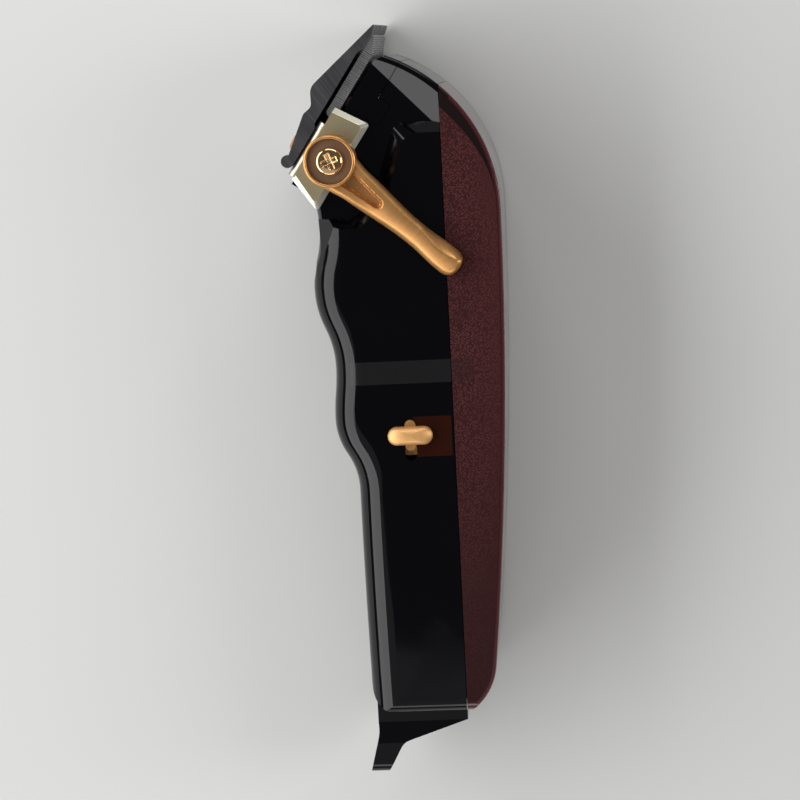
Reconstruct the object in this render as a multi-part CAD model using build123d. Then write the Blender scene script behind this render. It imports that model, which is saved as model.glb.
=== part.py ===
from build123d import *
import os
from math import cos, radians, sin, sqrt

# Cordless hair clipper lying on its flat side, in millimetres.
# Drawing frame: X = 0 is the plane where lid and casing part, with the lid on +X,
# Y = 0 is the rear end, with the blade on +Y, and Z = 0 is the middle plane between the flat sides.
# Finished pieces are moved so that the far flat side rests on Z = 0, with the origin under the switch.

# Clearances
part_gap = 0.15              # shadow gap between moulded shells
seat_gap = 0.2               # inner piece to its seat
run_gap = 0.3                # moving piece to a fixed neighbour
fit_gap = 0.05               # pin in its bore, on the radius
slide_gap = 0.1              # cam and slider in their slots, each side
blade_gap = 0.06             # moving blade over the bottom blade

# Contents that set the length
rear_bay = 12.0
battery_length = 65.0
battery_diameter = 18.3
battery_button_height = 1.0  # raised contact on the front end
battery_button_radius = 3.2
battery_round = 0.6
battery_offset = 6.4         # cell axis beyond the middle plane, away from the board
bay_gap = 3.2
motor_length = 30.0
motor_diameter = 22.0
motor_round = 1.2
drive_bay = 8.0

# Body shell
body_width = 46.0
wall = 1.8
inner_round = 1.0            # inside edges along the crown
lid_height = 12.0            # crown of the lid over the parting plane
lid_heel_height = 6.7
lid_heel_length = 9.5
lid_foot_height = 1.0        # square foot of the lid behind its round heel
flank_inset = 0.9            # edge of the flat lid flank inside the crown
flank_step = 0.2             # crown edge below that flank
flank_start = 2.0            # where that step starts, over the parting plane
handle_depth = 20.8          # underside below the parting plane
handle_foot_depth = 20.2     # the same at the rear end
rear_swell_depth = 25.3
waist_depth = 24.6
front_swell_depth = 28.3
neck_depth = 26.6
under_round = 6.0
crown_round = 0.8
rear_round = 2.6
heel_corner = 5.5            # rounded rear corner of the underside
handle_end = 70.2            # stations of the underside, measured back from the lever pivot
rear_swell_back = 54.8
waist_back = 44.0
front_swell_back = 27.0
neck_back = 14.9
shoulder_back = 11.5
bevel_back = 25.1            # where the bevel of the neck runs out on the underside
bevel_depth = 27.15
bevel_side = 2.5             # that point inside the flat side
bevel_turn = 36.0            # bevel round the corner, from the underside
bevel_fall = 10.5            # its slope along the body
rib_thickness = 1.6
battery_rib = 9.5            # supporting ribs from the ends of battery and motor
motor_rib = 4.5

# Head frame: origin on the lever pivot, p towards the blade tip, q out through the blade
blade_tilt = 34.0
pivot_depth = 23.0
head_width = 40.8            # head between its scooped sides
scoop_slope = 2.2            # run of the sloping wall round the scoop
scoop_round = 3.0
scoop_front = 7.2            # front edge of the flat panel, ahead of the pivot
scoop_corner_x = 13.4        # corners of the panel edge, from the pivot towards the lid
scoop_low_x = 8.8
scoop_low_back = 6.7
scoop_exit_x = 4.4
scoop_exit_back = 12.2
crown_rim = 1.4              # rim of the head left between scoop and crown
facet_front = 5.6            # sloping facet under that rim, where it meets the parting plane
facet_turn = -46.0
facet_tilt = 25.0
nose_reach = 24.6
nose_lip = 1.6
nose_face = 3.2              # nose under the moving blade
nose_bevel = 2.5
nose_pad = 4.6               # nose under the blade bracket
nose_pad_front = 6.2
nose_pad_ramp = 0.9
nose_seam = -1.75
chin_reach = 8.6
chin_drop = 0.5
nose_skin = 2.0
nose_boss_floor = 1.0        # nose boss behind the blind end of the post
latch_back = 11.2            # latch tongue of the nose in the side of the casing
latch_front = 16.3
latch_length = 2.9
latch_thickness = 0.8
latch_round = 0.9

# Blade set
blade_plane = 6.3            # sliding plane of the two blades
blade_width = 44.6
blade_reach = 28.7
blade_heel = 6.25
blade_edge_low = 0.35        # heights over the sliding plane
blade_edge_high = 0.75
blade_edge_bevel = 1.5
blade_land = 5.6             # ground land behind the edge
relief_height = 0.6
relief_ramp = 0.9
relief_heel = 4.0
hump_back = 18.0             # hump, notch and heel plate, back from the edge
hump_height = 5.3
hump_round = 3.0
notch_back = 21.2
notch_height = 3.0
notch_round = 1.6
plate_back = 23.4
plate_height = 3.65
plate_heel_height = 1.6
bead_radius = 1.35           # rolled bead along the heel
blade_tooth_pitch = 1.5
blade_slot = 0.7
blade_tooth_length = 6.4
slot_flare = 0.7             # half width of a slot at the tips, in slot widths
cutter_width = 38.0
cutter_setback = 2.05
cutter_length = 19.2
cutter_thickness = 2.2
cutter_bevel = 3.75
cutter_edge = 0.5
cutter_chamfer = 0.6
cutter_tooth_pitch = 2.0
cutter_slot = 0.9
cutter_tooth_length = 5.2
stroke = 1.4                 # moving blade to each side

# Blade bracket
bracket_plate = 1.5
bracket_bend = 1.4
bracket_heel = 7.0
bracket_front = 5.8
ear_plate = 1.4
ear_front = 10.6             # lower edge of the ear, ahead of and behind the pivot
ear_back = 10.6
ear_front_top = 9.9
ear_back_top = 7.6
ear_drop = 3.0
ear_corner = 0.6
ear_rim = 1.2                # bevelled rim round the ear
ear_rim_depth = 0.5
ear_lap = 0.2                # ear into the plate that carries it
blade_screw_p = -0.4
blade_screw_z = 11.0
blade_screw_radius = 1.5
blade_screw_head = 2.9
blade_screw_height = 1.4
blade_screw_seat = 2.1       # spot face over the sliding plane
blade_screw_dome = 1.0
collar_radius = 2.4
collar_height = 1.2
guide_radius = 1.6
guide_p = -2.9
guide_root = 2.4             # guide pin held in the nose

# Taper lever
lever_rest_angle = -42.0     # arm direction at rest, from +X
lever_low = -40.0            # travel from rest, degrees
lever_high = 15.0
boss_radius = 5.5
boss_height = 4.7
boss_round = 0.5
boss_recess_radius = 4.75
boss_recess_depth = 1.6
arm_length = 32.0
arm_offset = 0.45            # arm axis beside the pivot
arm_root = 8.0               # stations along the arm and its widths there
arm_waist = 24.5
arm_boss_width = 8.4
arm_root_width = 7.2
arm_waist_width = 4.6
arm_tip_width = 5.8
arm_thickness = 3.0
arm_round = 1.1
pocket_start = 4.5
pocket_end = 14.2
pocket_root_width = 3.6
pocket_end_width = 1.9
pocket_round = 0.8
pocket_depth = 1.2
dish_radius = 37.5           # round thumb dish in the upper edge of the arm
dish_station = 27.0
dish_aside = 14.8
dish_rise = 34.4
cam_throw = 1.5
cam_wall = 0.4
cam_window_round = 2.4
post_radius = 1.5
post_length = 9.0            # length of the post held in the nose
post_bore = 0.8
post_floor = 1.0
washer_thickness = 0.6
lever_screw_head = 2.9
lever_screw_height = 1.3
lever_screw_dome = 0.9
lever_screw_end = 3.0        # screw short of the end of the post

# Drive
motor_depth = 9.5            # motor axis below the parting plane
shaft_radius = 1.0
shaft_bearing = 7.5          # shaft held in the motor
bearing_end = 0.5
motor_boss_radius = 3.2
motor_boss_height = 1.6
motor_plate_thickness = 1.5
motor_plate_depth = 11.0
motor_screw_z = 8.0
motor_screw_bite = 2.4
motor_screw_end = 0.6
eccentric_radius = 4.0
eccentric_length = 3.8
crank_radius = 1.25
crank_length = 3.7
yoke_size = 10.0             # yoke across X
yoke_width = 12.0            # yoke along its rod
yoke_length = 5.4
yoke_slot_depth = 2.2
yoke_web = 0.4               # yoke left between slot and rod
rod_radius = 1.2
rod_drop = 1.5               # rod below the motor axis
rod_end = 0.6                # rod short of the casing wall
rod_boss = 3.0
rod_boss_length = 3.4
finger_p = 12.2
finger_width = 3.6
finger_root = 9.0
spring_thickness = 0.4
spring_inner = 6.0
spring_outer = 11.0
spring_length = 11.0
spring_bridge = 3.0
spring_foot = 2.0
spring_setback = 1.2         # spring behind the bevel of the moving blade

# Switch and board
switch_back = 58.3           # switch centre, back from the lever pivot
switch_depth = 9.15          # switch centre below the parting plane
switch_travel = 2.0
bar_width = 2.3
bar_length = 6.5
bar_proud = 0.4
thumb_length = 9.5
thumb_width = 3.9
thumb_height = 2.3
thumb_round = 1.0
flange_thickness = 1.0       # slider flange behind the casing wall
flange_width = 5.3
flange_length = 9.0
flange_round = 0.8
switch_body_height = 4.4
switch_body_width = 5.4
switch_body_length = 10.0
switch_body_chamfer = 0.4
board_thickness = 1.6
board_length = 44.0
board_width = 15.0
board_round = 1.0
board_shift = 7.3            # middle of the board behind the switch
board_post_radius = 2.2
board_screw_bite = 3.0

# Fasteners
screw_radius = 1.0
screw_head_radius = 2.2
screw_head_height = 1.6
screw_end = 0.4              # screw short of its blind hole
screw_bite = 3.0             # casing screw into the lid post
screw_shelf = 6.0            # casing screw seat below the parting plane
screw_post_radius = 2.9
rear_post_y = 8.0
rear_post_z = 14.0
front_post_back = 23.2
front_post_z = 16.6
nose_screw_p = 16.0
nose_screw_z = 15.7
nose_screw_bite = 5.0
nose_post_length = 7.0
nose_post_floor = 1.0

# Rear cap with hanging hook, and charging socket
cap_inset = 0.7              # cap edge inside the underside of the casing
cap_lip = 3.2                # cap edge at the parting plane
hook_width = 32.0
hook_tip_width = 24.0
hook_reach = 15.6
hook_kick = 2.5              # tail tip bent out past the cap edge
hook_thickness = 3.9
hook_corner = 3.0
hook_bend = 6.0
hook_bend_round = 14.0
hook_throat = 8.9
hook_throat_width = 5.0
hook_throat_round = 4.0
hook_eye_radius = 2.0
hook_eye_reach = 12.2
socket_depth = 6.0           # socket axis below the parting plane
socket_radius = 3.6
socket_bore = 1.75
socket_length = 9.6
socket_face = 0.2            # socket mouth inside the rear end
socket_floor = 1.2

far = 300.0
half_width = body_width / 2
inner_half = half_width - wall
head_half = head_width / 2
head_inner = head_half - wall
battery_radius = battery_diameter / 2
motor_radius = motor_diameter / 2
motor_rear = rear_bay + battery_length + bay_gap
motor_front = motor_rear + motor_length
pivot_x = -pivot_depth
pivot_y = motor_front + drive_bay
battery_x = battery_radius + wall + seat_gap - handle_foot_depth
battery_z = -battery_offset
switch_y = pivot_y - switch_back
board_y = switch_y - board_shift
board_top = inner_half - 2 * seat_gap - flange_thickness - switch_body_height
plate_low = blade_plane - bracket_plate
cutter_inner = blade_plane - blade_gap - cutter_thickness
ear_inner = head_half + run_gap
ear_outer = ear_inner + ear_plate
boss_base = ear_outer + run_gap
boss_top = boss_base + boss_height
washer_base = boss_top - boss_recess_depth + fit_gap
washer_top = washer_base + washer_thickness
cam_lead = -(lever_low + lever_high) / 2
cam_radius = cam_throw + post_radius + fit_gap + cam_wall
eccentric_rear = motor_front + motor_boss_height + run_gap
yoke_rear = eccentric_rear + eccentric_length + crank_length + run_gap + fit_gap
rod_x = -motor_depth - rod_drop
rod_y = yoke_rear + yoke_slot_depth + rod_radius + yoke_web

turn = radians(90 - blade_tilt)
outward = (-sin(turn), cos(turn), 0)
inward = (sin(turn), -cos(turn), 0)
head = Pos(pivot_x, pivot_y, 0) * Rot(0, 0, 90 - blade_tilt)
place = Pos(switch_depth, -switch_y, half_width)


def from_head(p, q):
    return (pivot_x + p * cos(turn) - q * sin(turn), pivot_y + p * sin(turn) + q * cos(turn))


nose_tip = from_head(nose_reach, nose_lip)
shoulder = (lid_height, pivot_y - shoulder_back)
crown_fall = lid_height - nose_tip[0]
crown_radius = (crown_fall**2 + (nose_tip[1] - shoulder[1])**2) / (2 * crown_fall)


def block(low, high):
    size = [b - a for a, b in zip(low, high)]
    middle = [(a + b) / 2 for a, b in zip(low, high)]
    return Pos(*middle) * Box(*size)


def rod(start, direction, radius, length):
    drawn = Cylinder(radius, length, align=(Align.CENTER, Align.CENTER, Align.MIN))
    return Plane(origin=start, z_dir=direction) * drawn


def slab(face, low, high):
    return Pos(0, 0, low) * extrude(face, amount=high - low, dir=(0, 0, 1))


def polygon(points):
    return make_face(Polyline(*points, close=True))


def both_sides(solid):
    return solid + mirror(solid, about=Plane.XY)


def s_curve(start, end):
    # Two equal arcs that leave the first station and reach the next one along Y.
    middle = ((start[0] + end[0]) / 2, (start[1] + end[1]) / 2)
    first = TangentArc(start, middle, tangent=(0, 1))
    second = TangentArc(middle, end, tangent=first % 1)
    return [*first.edges(), *second.edges()]


def body_outline():
    # Side view of lid, casing and nose in one outline of tangent arcs and straight runs.
    lid_heel = (lid_heel_height, lid_heel_length)
    chin = from_head(-chin_reach, -chin_drop)
    stations = [
        (-handle_depth, pivot_y - handle_end),
        (-rear_swell_depth, pivot_y - rear_swell_back),
        (-waist_depth, pivot_y - waist_back),
        (-front_swell_depth, pivot_y - front_swell_back),
        (-neck_depth, pivot_y - neck_back),
    ]
    foot = (-handle_foot_depth, 0)
    lid_foot = (lid_foot_height, 0)
    long_arc = TangentArc(shoulder, lid_heel, tangent=(0, -1))
    edges = [*long_arc.edges()]
    edges += TangentArc(lid_heel, lid_foot, tangent=long_arc % 1).edges()
    edges += TangentArc(shoulder, nose_tip, tangent=(0, 1)).edges()
    edges += Polyline(
        nose_tip,
        from_head(nose_reach - nose_bevel, nose_face),
        from_head(nose_pad_front + nose_pad_ramp, nose_face),
        from_head(nose_pad_front, nose_pad),
        from_head(-chin_reach, nose_pad),
        chin,
    ).edges()
    for start, end in zip(stations, stations[1:]):
        edges += s_curve(start, end)
    edges += TangentArc(stations[-1], chin, tangent=(0, 1)).edges()
    edges += TangentArc(stations[0], foot, tangent=(0, -1)).edges()
    edges += Line(foot, lid_foot).edges()
    return Face(Wire(edges))


def rounded_prism(face, half, crown, under):
    # Extrusion across the body, with the long crown and underside edges rounded.
    solid = extrude(face, amount=half, both=True)

    def side_arcs(shape, is_crown):
        arcs = shape.edges().filter_by(GeomType.CIRCLE)
        arcs = [e for e in arcs if abs(abs(e.center().Z) - half) < 0.001]
        return [e for e in arcs if (e.center().X > pivot_x / 2) == is_crown]

    solid = fillet(side_arcs(solid, True), crown)
    return fillet(side_arcs(solid, False), under)


def rear_envelope(inset):
    # Plan view with round rear corners, and side view with the round corner of the underside.
    length = 2 * far
    plan = RectangleRounded(length, body_width - 2 * inset, rear_round)
    solid = extrude(Plane.YZ * Pos(length / 2 + inset, 0) * plan, amount=far, both=True)
    corner_x = heel_corner - handle_foot_depth
    corner = block((-far, -far, -far), (corner_x, heel_corner, far))
    return solid - (corner - rod((corner_x, heel_corner, -far), (0, 0, 1), heel_corner - inset, 2 * far))


def scoop_region(shift):
    # Head area beyond the flat side panel, its edge moved by shift into the panel.
    top = pivot_y + scoop_front - shift
    corner = (pivot_x + scoop_corner_x + shift, top)
    low = (pivot_x + scoop_low_x + shift, pivot_y - scoop_low_back - shift)
    leave = (pivot_x + scoop_exit_x + shift / 2, pivot_y - scoop_exit_back - shift)
    edge = FilletPolyline((far, top), corner, low, leave, (-far, leave[1]), radius=scoop_round + shift / 4)
    back = Polyline(edge @ 1, (-far, far), (far, far), edge @ 0)
    return Face(Wire([*edge.edges(), *back.edges()]))


def under_facet(inset):
    # Space under the sloping facet between the floor of the scoop and the rim of the crown.
    run, tilt = radians(facet_turn), radians(facet_tilt)
    normal = (sin(run) * sin(tilt), -cos(run) * sin(tilt), cos(tilt))
    line_start = (0, pivot_y + facet_front, head_half)
    facet = Plane(origin=line_start, x_dir=(cos(run), sin(run), 0), z_dir=normal)
    return facet * block((-far, -far, -far), (far, far, -inset))


def scoop(inset):
    # Both scooped sides of the head, as one tool to cut with. The lid and the crown rim stay.
    inner = head_half - inset
    outer = half_width + wall
    run = scoop_slope * (outer - inner) / (half_width - head_half)
    floor = Pos(0, 0, inner) * scoop_region(inset)
    side = loft([floor, Pos(0, 0, outer) * scoop_region(inset + run)], ruled=True)
    side &= block((-far, -far, 0), (inset, far, far))
    crown_centre = (lid_height - crown_radius, shoulder[1], 0)
    side &= rod(crown_centre, (0, 0, 1), crown_radius - crown_rim + inset, far)
    return both_sides(side - under_facet(inset))


def neck_bevel():
    # Flat bevel on the round underside edges, from the scoop back to where it runs out.
    around, fall = radians(bevel_turn), radians(bevel_fall)
    normal = (-cos(around) * cos(fall), sin(fall), sin(around) * cos(fall))
    end = (-bevel_depth, pivot_y - bevel_back, half_width - bevel_side)
    side = Plane(origin=end, z_dir=normal) * block((-far, -far, 0), (far, far, far))
    return both_sides(side & block((-far, 0, 0), (far, pivot_y - scoop_exit_back, far)))


def body_solid():
    solid = rounded_prism(body_outline(), half_width, crown_round, under_round)
    return (solid & rear_envelope(0)) - scoop(0) - neck_bevel()


def cavity_solid():
    inner_face = offset(body_outline(), -wall, kind=Kind.INTERSECTION)
    solid = rounded_prism(inner_face, inner_half, inner_round, under_round - wall)
    return (solid & rear_envelope(wall)) - scoop(wall)


def front_of_seam(gap):
    return head * block((-far, nose_seam + gap, -far), (far, far, far))


def latch_tongues(gap):
    # Tongues of the nose in both sides of the casing, grown by gap.
    length = latch_length + nose_skin + gap
    face = RectangleRounded(latch_front - latch_back + 2 * gap, length, latch_round)
    face = Pos((latch_front + latch_back) / 2, nose_seam + nose_skin - length / 2) * face
    return head * both_sides(slab(face, head_half - latch_thickness - gap, head_half + gap))


def switch_slot():
    length = bar_length + switch_travel + 2 * slide_gap
    face = Rot(0, 0, 90) * SlotOverall(length, bar_width + 2 * slide_gap)
    return slab(Pos(-switch_depth, switch_y - switch_travel / 2) * face, 0, far)


def post_places():
    # Casing screw posts as (y, z).
    rear = [(rear_post_y, side * rear_post_z) for side in (-1, 1)]
    front = [(pivot_y - front_post_back, side * front_post_z) for side in (-1, 1)]
    return rear + front


def board_post_places():
    x = -switch_depth + board_width / 2 - board_post_radius
    reach = board_length / 2 - board_post_radius
    return [(x, board_y - reach), (x, board_y + reach)]


def saddles(x, z, radius, rear, front):
    # Two ribs hollowed to carry a cylinder that lies along Y.
    ribs = Part()
    for y in (rear, front - rib_thickness):
        ribs += block((-far, y, z - radius), (x, y + rib_thickness, z + radius))
    return ribs - rod((x, -far, z), (0, 1, 0), radius + seat_gap, 2 * far)


def casing_ribs(body):
    # Saddles under battery and motor, screw posts, board posts and the bosses of the yoke rod.
    battery_front = rear_bay + battery_length
    ribs = saddles(battery_x, battery_z, battery_radius, rear_bay + battery_rib, battery_front - battery_rib)
    ribs += saddles(-motor_depth, 0, motor_radius, motor_rear + motor_rib, motor_front - motor_rib)
    for y, z in post_places():
        ribs += rod((-far, y, z), (1, 0, 0), screw_post_radius, far - part_gap)
    for x, y in board_post_places():
        ribs += rod((x, y, board_top), (0, 0, 1), board_post_radius, far)
    for side in (-1, 1):
        ribs += rod((rod_x, rod_y, side * (head_inner - rod_boss_length)), (0, 0, side), rod_boss, far)
        foot = from_head(nose_screw_p, nose_seam - nose_post_length)
        ribs += rod((*foot, side * nose_screw_z), outward, screw_post_radius, nose_post_length)
    return ribs & body


def make_lower_casing(body, shell):
    solid = shell + casing_ribs(body)
    solid &= block((-far, -far, -far), (0, far, far))
    solid -= front_of_seam(0)
    solid -= latch_tongues(part_gap)
    for y, z in post_places():
        solid -= rod((-far, y, z), (1, 0, 0), screw_head_radius + seat_gap, far - screw_shelf)
        solid -= rod((-far, y, z), (1, 0, 0), screw_radius + fit_gap, far)
    for x, y in board_post_places():
        solid -= rod((x, y, board_top), (0, 0, 1), screw_radius, inner_half - board_top - wall)
    for side in (-1, 1):
        bore_start = side * (head_inner - rod_boss_length)
        solid -= rod((rod_x, rod_y, bore_start), (0, 0, side), rod_radius + fit_gap, rod_boss_length)
        mouth = from_head(nose_screw_p, nose_seam)
        hole_depth = nose_post_length - nose_post_floor
        solid -= rod((*mouth, side * nose_screw_z), inward, screw_radius, hole_depth)
    solid -= switch_slot()
    return solid - rod((-socket_depth, -far, 0), (0, 1, 0), socket_radius + fit_gap, far + socket_length)


def make_top_lid(body, shell):
    posts = Part()
    for y, z in post_places():
        posts += rod((part_gap, y, z), (1, 0, 0), screw_post_radius, far)
    solid = shell + (posts & body)
    solid &= block((part_gap, -far, -far), (far, far, far))
    for y, z in post_places():
        solid -= rod((-far, y, z), (1, 0, 0), screw_radius, far + screw_bite)
    band = body_outline() - offset(body_outline(), -flank_inset, kind=Kind.INTERSECTION)
    band = both_sides(slab(band, half_width - flank_step, far))
    return solid - (band & block((flank_start, -far, -far), (far, far, far)))


def make_nose_cap(body):
    solid = body & front_of_seam(part_gap)
    pocket_half = head_half - nose_skin
    pocket = head * block(
        (-chin_reach + nose_skin, nose_seam - wall, -pocket_half),
        (nose_reach - 2 * nose_skin, nose_face - nose_skin, pocket_half),
    )
    boss_length = post_length + nose_boss_floor
    boss_start = (pivot_x, pivot_y, head_half - boss_length)
    pillars = rod(boss_start, (0, 0, 1), post_radius + nose_skin, boss_length - wall - seat_gap)
    for side in (-1, 1):
        seat = from_head(nose_screw_p, nose_seam + part_gap)
        pillar_length = nose_face - nose_seam - part_gap
        pillars += rod((*seat, side * nose_screw_z), outward, screw_post_radius, pillar_length)
    solid = (solid - pocket) + pillars + latch_tongues(0)
    window_p = finger_width / 2 + 2 * run_gap
    window_z = finger_width / 2 + stroke + run_gap
    solid -= head * block((finger_p - window_p, -far, -window_z), (finger_p + window_p, far, window_z))
    solid -= rod((pivot_x, pivot_y, head_half - post_length), (0, 0, 1), post_radius, far)
    solid -= rod((*from_head(guide_p, nose_pad - guide_root), 0), outward, guide_radius, far)
    for side in (-1, 1):
        mouth = from_head(nose_screw_p, -far)
        solid -= rod((*mouth, side * nose_screw_z), outward, screw_radius + fit_gap, 2 * far)
        sink = from_head(nose_screw_p, nose_face - screw_head_height - seat_gap)
        solid -= rod((*sink, side * nose_screw_z), outward, screw_head_radius + seat_gap, far)
        well_p = collar_radius + 2 * run_gap + cam_throw
        well_z = collar_radius + run_gap
        well_floor = nose_pad - collar_height - 2 * run_gap
        solid -= head * block(
            (blade_screw_p - well_p, well_floor, side * blade_screw_z - well_z),
            (blade_screw_p + well_p, far, side * blade_screw_z + well_z),
        )
    return solid


def tooth_slots(width, pitch, slot, tip, length, low, high):
    # Row of slots between teeth, a little wider at the tips than at the pointed roots.
    count = int((width - pitch) / pitch)
    first = -(count - 1) * pitch / 2
    flare = slot * slot_flare
    root = tip - length
    profile = polygon([
        (tip + pitch, -flare), (root + slot / 2, -slot / 2), (root, 0),
        (root + slot / 2, slot / 2), (tip + pitch, flare),
    ])
    flat = Plane((0, 0, 0), x_dir=(1, 0, 0), z_dir=(0, -1, 0))
    cutter = extrude(flat * profile, amount=high - low, both=True)
    cutter = Pos(0, (low + high) / 2, 0) * cutter
    return [Pos(0, 0, first + i * pitch) * cutter for i in range(count)]


def make_bottom_blade():
    # Side view over the sliding plane: edge, hump, notch, heel plate, rolled bead and relief.
    tip = blade_reach
    heel = bead_radius - blade_heel
    hump = (tip - hump_back, hump_height)
    notch = (tip - notch_back, notch_height)
    plate = (tip - plate_back, plate_height)
    profile = polygon([
        (tip, blade_edge_low), (tip, blade_edge_high), hump, notch, plate,
        (heel, plate_heel_height), (heel, 0),
        (relief_heel, 0), (relief_heel + relief_ramp, relief_height),
        (tip - blade_land - relief_ramp, relief_height), (tip - blade_land, 0),
        (tip - blade_edge_bevel, 0),
    ])
    for corner, radius in ((hump, hump_round), (notch, notch_round), (plate, notch_round)):
        profile = fillet(profile.vertices().sort_by_distance(corner)[0], radius)
    profile += Pos(heel, bead_radius + fit_gap) * Circle(bead_radius)
    solid = slab(profile, -blade_width / 2, blade_width / 2)
    solid -= tooth_slots(
        blade_width, blade_tooth_pitch, blade_slot, tip, blade_tooth_length, -hump_height, hump_height
    )
    for side in (-1, 1):
        foot = (blade_screw_p, -wall, side * blade_screw_z)
        seat = (blade_screw_p, blade_screw_seat, side * blade_screw_z)
        solid -= rod(foot, (0, 1, 0), blade_screw_radius + slide_gap, far)
        solid -= rod(seat, (0, 1, 0), blade_screw_head + run_gap, far)
    return head * Pos(0, blade_plane, 0) * solid


def make_top_blade():
    tip = blade_reach - cutter_setback
    heel = tip - cutter_length
    outer = cutter_inner + cutter_thickness
    profile = polygon([
        (tip, outer), (tip, outer - cutter_edge), (tip - cutter_bevel, cutter_inner), (heel, cutter_inner),
        (heel, outer - cutter_chamfer), (heel + cutter_chamfer, outer),
    ])
    solid = slab(profile, -cutter_width / 2, cutter_width / 2)
    solid -= tooth_slots(
        cutter_width, cutter_tooth_pitch, cutter_slot, tip, cutter_tooth_length, cutter_inner, outer
    )
    reach = finger_width / 2 + slide_gap
    return head * (solid - block((finger_p - reach, 0, -reach), (finger_p + reach, far, reach)))


def ear_outline(rim):
    # Side view of the ear that hangs from the bracket plate, drawn in by rim.
    high = plate_low + ear_lap
    low = rim - ear_drop
    face = polygon([
        (ear_front_top - rim, high), (ear_front - rim, low),
        (rim - ear_back, low), (rim - ear_back_top, high),
    ])
    return fillet(face.vertices().group_by(Axis.Y)[0], ear_corner)


def make_blade_bracket():
    plate = block((-bracket_heel, plate_low, -head_half), (bracket_front, blade_plane, ear_outer))
    bend = plate.edges().filter_by(Axis.X).group_by(Axis.Z)[-1].sort_by(Axis.Y)[-1]
    rim_base = ear_outer - ear_rim_depth
    rim_low = Pos(0, 0, rim_base) * ear_outline(0)
    rim_high = Pos(0, 0, ear_outer) * ear_outline(ear_rim)
    solid = fillet(bend, bracket_bend) + slab(ear_outline(0), ear_inner, rim_base)
    solid += loft([rim_low, rim_high], ruled=True)
    for side in (-1, 1):
        collar = (blade_screw_p, plate_low - collar_height, side * blade_screw_z)
        solid += rod(collar, (0, 1, 0), collar_radius, collar_height)
        solid -= rod(collar, (0, 1, 0), blade_screw_radius, far)
    lead = radians(cam_lead)
    window = Rectangle(2 * (cam_radius + slide_gap), 2 * (cam_radius + run_gap))
    window = fillet(window.vertices(), cam_window_round)
    window = Pos(-cam_throw * sin(lead), cam_throw * cos(lead)) * window
    solid -= slab(window, ear_inner - ear_plate, far)
    travel = guide_radius + cam_throw + slide_gap
    flat = Plane((guide_p, 0, 0), x_dir=(1, 0, 0), z_dir=(0, 1, 0))
    slot = flat * SlotOverall(2 * travel, 2 * (guide_radius + slide_gap))
    return head * (solid - extrude(slot, amount=far))


def make_guide_pin():
    low = nose_pad - guide_root
    return head * rod((guide_p, low, 0), (0, 1, 0), guide_radius, blade_plane - run_gap - low)


def make_blade_screws():
    seat = blade_plane + blade_screw_seat
    start = plate_low - collar_height
    screws = []
    for side in (-1, 1):
        z = side * blade_screw_z
        shank = rod((blade_screw_p, start, z), (0, 1, 0), blade_screw_radius, seat - start)
        top = rod((blade_screw_p, seat, z), (0, 1, 0), blade_screw_head, blade_screw_height)
        rim = top.edges().filter_by(GeomType.CIRCLE).group_by(Axis.Y)[-1]
        screws.append(head * (shank + fillet(rim, blade_screw_dome)))
    return screws


def make_tension_spring():
    low = nose_face + fit_gap
    high = low + spring_thickness
    tip = blade_reach - cutter_setback - cutter_bevel - spring_setback
    heel = tip - spring_length
    solid = block((tip - spring_bridge, low, -spring_outer), (tip, high, spring_outer))
    leg = block((heel, low, spring_inner), (tip, high, spring_outer))
    leg += block((heel, low, spring_inner), (heel + spring_foot, cutter_inner - fit_gap, spring_outer))
    return head * (solid + both_sides(leg))


def make_nose_screws():
    seat = nose_face - screw_head_height - seat_gap
    start = nose_seam - nose_screw_bite
    screws = []
    for side in (-1, 1):
        z = side * nose_screw_z
        shank = rod((*from_head(nose_screw_p, start), z), outward, screw_radius, seat - start)
        top = rod((*from_head(nose_screw_p, seat), z), outward, screw_head_radius, screw_head_height)
        screws.append(shank + top)
    return screws


def lever_arm():
    # Arm along +X: waisted outline with a round end, domed rim, pocket at the root and thumb dish.
    low = half_width + run_gap + slide_gap
    high = low + arm_thickness
    upper = [(0, arm_boss_width / 2), (arm_root, arm_root_width / 2)]
    upper += [(arm_waist, arm_waist_width / 2), (arm_length, arm_tip_width / 2)]
    lower = [(x, -y) for x, y in reversed(upper)]
    edges = Spline(*upper, tangents=[(1, 0), (1, 0)]).edges()
    edges += ThreePointArc(upper[-1], (arm_length + arm_tip_width / 2, 0), lower[0]).edges()
    edges += Spline(*lower, tangents=[(-1, 0), (-1, 0)]).edges()
    edges += Line(lower[-1], upper[0]).edges()
    arm = slab(Face(Wire(edges)), low, high)
    rim = [e for e in arm.edges().group_by(Axis.Z)[-1] if e.center().X > arm_root / 2]
    arm = fillet(rim, arm_round)
    arm -= Pos(dish_station, dish_aside, high + dish_rise) * Sphere(dish_radius)
    wide, narrow = pocket_root_width / 2, pocket_end_width / 2
    pocket = polygon([
        (pocket_start, -wide), (pocket_end, -narrow), (pocket_end, narrow), (pocket_start, wide),
    ])
    pocket = fillet(pocket.vertices().group_by(Axis.X)[-1], pocket_round)
    return Pos(0, -arm_offset, 0) * (arm - slab(pocket, high - pocket_depth, far))


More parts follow.
